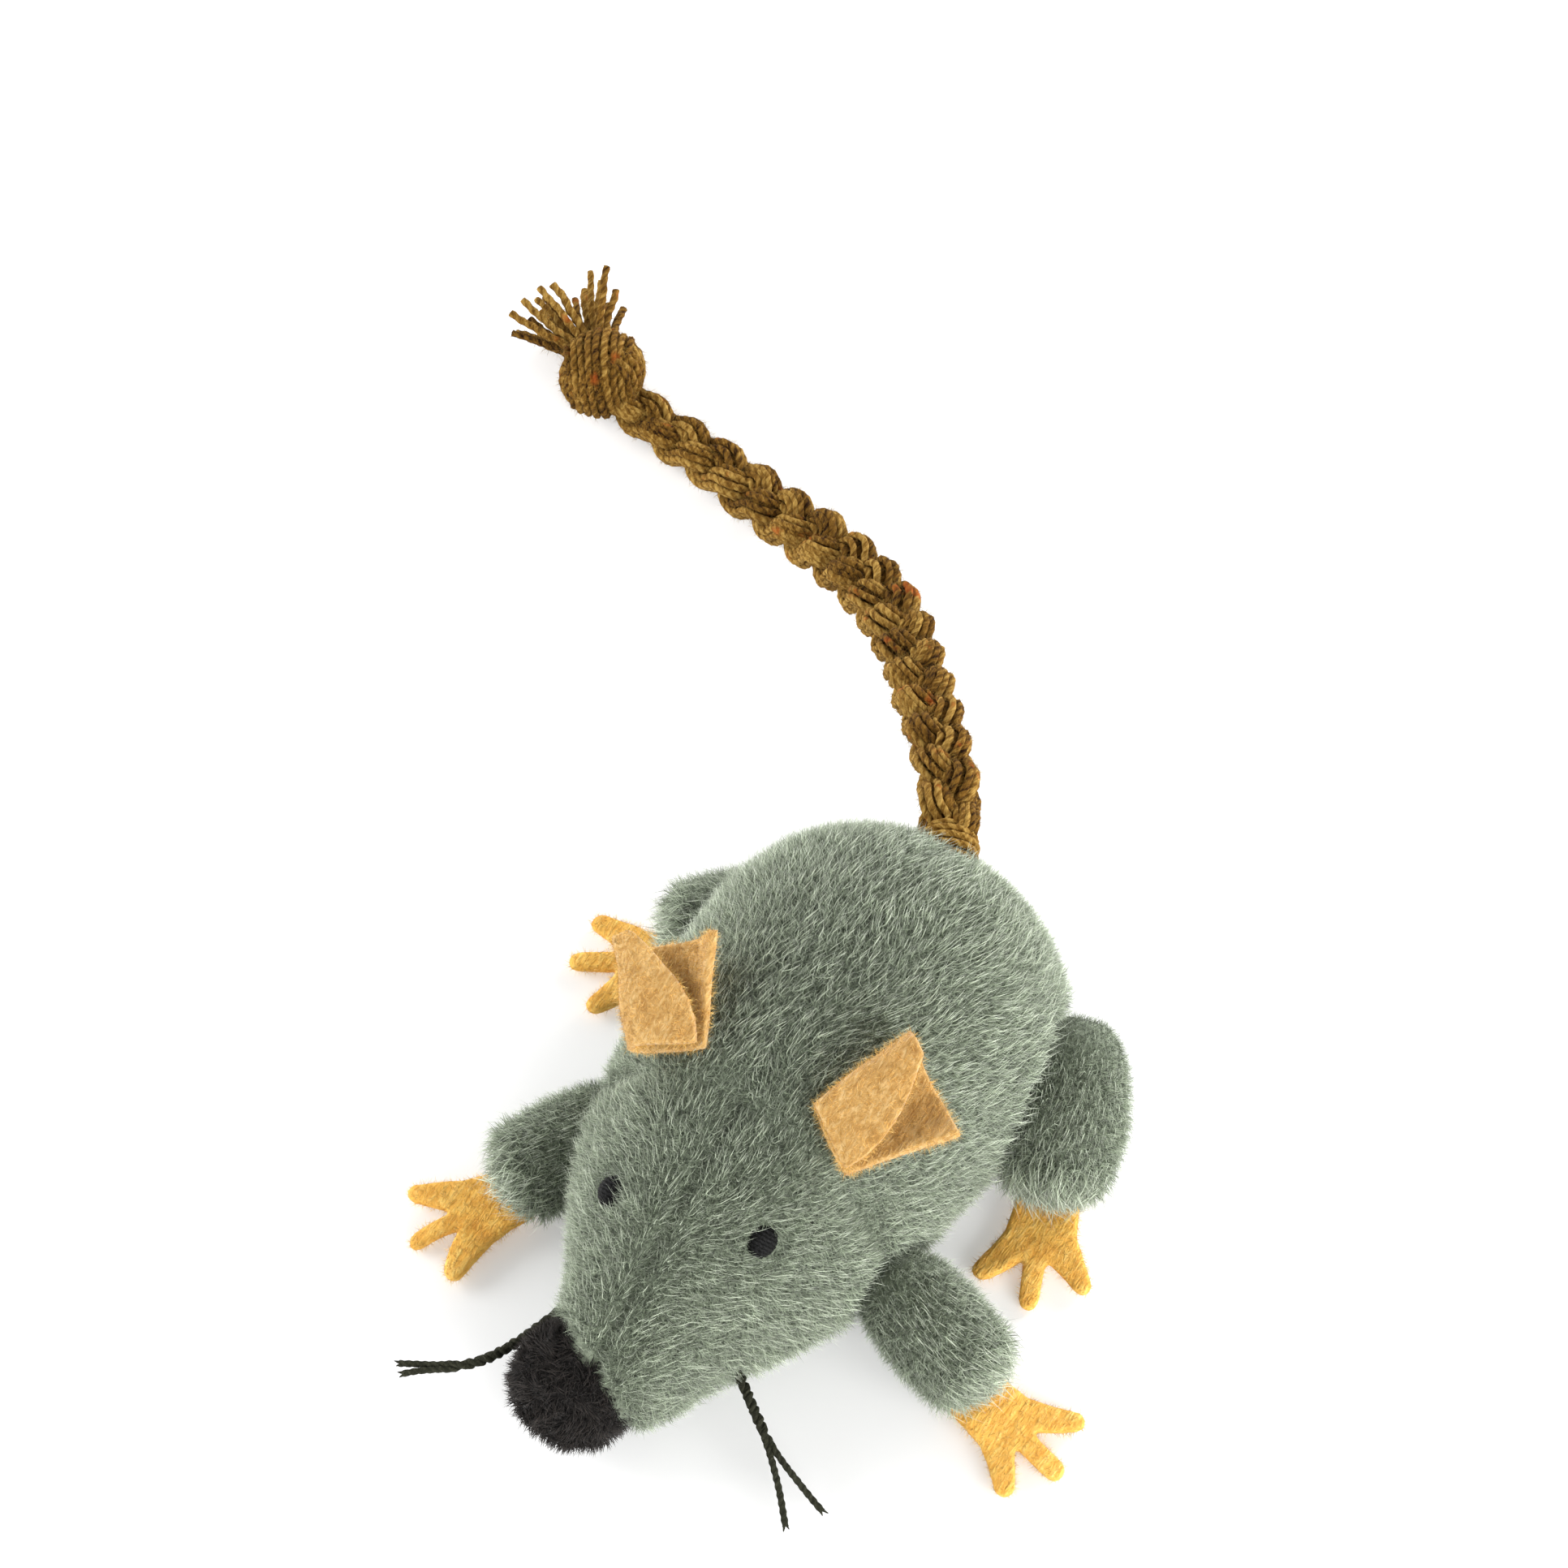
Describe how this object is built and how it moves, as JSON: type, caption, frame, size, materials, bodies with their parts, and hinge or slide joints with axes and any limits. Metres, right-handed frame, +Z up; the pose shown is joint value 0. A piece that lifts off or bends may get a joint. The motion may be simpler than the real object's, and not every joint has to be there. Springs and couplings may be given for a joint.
{
  "type": "catnip mouse",
  "caption": "Stuffed plush mouse with folded felt ears, felt paws, a pompom nose, thread whiskers and a plaited wool tail.",
  "frame": {"origin": "on the floor, in the middle of the flat of the belly", "axes": "+Z up, the mouse faces -Y and its left side is +X"},
  "size_m": [0.1578, 0.1539, 0.0455],
  "materials": {
    "plush": "matte",
    "felt": "matte",
    "tail_wool": "matte",
    "black_wool": "matte",
    "thread": "matte",
    "fibre_fill": "matte",
    "linen": "matte"
  },
  "bodies": {
    "torso": {"head_left_panel": "plush", "head_right_panel": "plush", "back_left_panel": "plush", "back_right_panel": "plush", "chin_panel": "plush", "belly_panel": "plush", "head_stuffing": "fibre_fill", "body_stuffing": "fibre_fill", "catnip_sachet": "linen", "pompom_nose": "black_wool", "eye_left": "black_wool", "eye_right": "black_wool"},
    "ear_left": {"ear_left": "felt"},
    "ear_right": {"ear_right": "felt"},
    "whiskers_left": {"whisker_left_front": "thread", "whisker_left_back": "thread"},
    "whiskers_right": {"whisker_right_front": "thread", "whisker_right_back": "thread"},
    "tail": {"tail_bound_end": "tail_wool", "tail_strand_one": "tail_wool", "tail_strand_two": "tail_wool", "tail_strand_three": "tail_wool", "tail_knot": "tail_wool", "tail_tassel": "tail_wool"},
    "arm_left": {"arm_left_sleeve": "plush", "arm_left_stuffing": "fibre_fill"},
    "arm_left_paw": {"arm_left_paw": "felt"},
    "arm_right": {"arm_right_sleeve": "plush", "arm_right_stuffing": "fibre_fill"},
    "arm_right_paw": {"arm_right_paw": "felt"},
    "leg_left": {"leg_left_sleeve": "plush", "leg_left_stuffing": "fibre_fill"},
    "leg_left_paw": {"leg_left_paw": "felt"},
    "leg_right": {"leg_right_sleeve": "plush", "leg_right_stuffing": "fibre_fill"},
    "leg_right_paw": {"leg_right_paw": "felt"}
  },
  "joints": [
    {"name": "arm_left_swing", "type": "hinge", "parent": "torso", "child": "arm_left", "pos_m": [0.02525, -0.00864, 0.01079], "axis": [0, 0, 1], "range_deg": [-20, 25], "stiffness_Nm_per_rad": 0.004},
    {"name": "arm_left_paw_bend", "type": "hinge", "parent": "arm_left", "child": "arm_left_paw", "pos_m": [0.03816, -0.01138, 0.00312], "axis": [-0.2079, -0.9781, 0], "range_deg": [-10, 40], "stiffness_Nm_per_rad": 0.001},
    {"name": "arm_right_swing", "type": "hinge", "parent": "torso", "child": "arm_right", "pos_m": [-0.0208, -0.00936, 0.01021], "axis": [0, 0, 1], "range_deg": [-30, 0], "stiffness_Nm_per_rad": 0.004},
    {"name": "arm_right_paw_bend", "type": "hinge", "parent": "arm_right", "child": "arm_right_paw", "pos_m": [-0.02797, -0.02084, 0.00312], "axis": [-0.848, 0.5299, 0], "range_deg": [-10, 40], "stiffness_Nm_per_rad": 0.001},
    {"name": "leg_left_swing", "type": "hinge", "parent": "torso", "child": "leg_left", "pos_m": [0.025, 0.02898, 0.01386], "axis": [0, 0, 1], "range_deg": [-5, 30], "stiffness_Nm_per_rad": 0.004},
    {"name": "leg_left_paw_bend", "type": "hinge", "parent": "leg_left", "child": "leg_left_paw", "pos_m": [0.03002, 0.01655, 0.00312], "axis": [-0.9272, -0.3746, 0], "range_deg": [-10, 40], "stiffness_Nm_per_rad": 0.001},
    {"name": "leg_right_swing", "type": "hinge", "parent": "torso", "child": "leg_right", "pos_m": [-0.0175, 0.0288, 0.01134], "axis": [0, 0, 1], "range_deg": [-12, 12], "stiffness_Nm_per_rad": 0.004},
    {"name": "leg_right_paw_bend", "type": "hinge", "parent": "leg_right", "child": "leg_right_paw", "pos_m": [-0.03029, 0.02081, 0.00312], "axis": [-0.5299, 0.848, 0], "range_deg": [-10, 40], "stiffness_Nm_per_rad": 0.001},
    {"name": "ear_left_lift", "type": "hinge", "parent": "torso", "child": "ear_left", "pos_m": [0.01295, -0.00789, 0.03749], "axis": [0.8138, -0.4698, -0.342], "range_deg": [-3, 55], "stiffness_Nm_per_rad": 0.001},
    {"name": "ear_right_lift", "type": "hinge", "parent": "torso", "child": "ear_right", "pos_m": [-0.01085, -0.00809, 0.03861], "axis": [0.8446, 0.4119, 0.342], "range_deg": [-3, 55], "stiffness_Nm_per_rad": 0.001},
    {"name": "tail_sway", "type": "hinge", "parent": "torso", "child": "tail", "pos_m": [-0.0019, 0.04158, 0.02751], "axis": [0, 0, 1], "range_deg": [-25, 25], "stiffness_Nm_per_rad": 0.004},
    {"name": "whiskers_left_sweep", "type": "hinge", "parent": "torso", "child": "whiskers_left", "pos_m": [0.0135, -0.0289, 0.0092], "axis": [0, 0, 1], "range_deg": [-12, 12], "stiffness_Nm_per_rad": 0.0002},
    {"name": "whiskers_right_sweep", "type": "hinge", "parent": "torso", "child": "whiskers_right", "pos_m": [-0.011, -0.0344, 0.0095], "axis": [0, 0, 1], "range_deg": [-12, 12], "stiffness_Nm_per_rad": 0.0002}
  ]
}
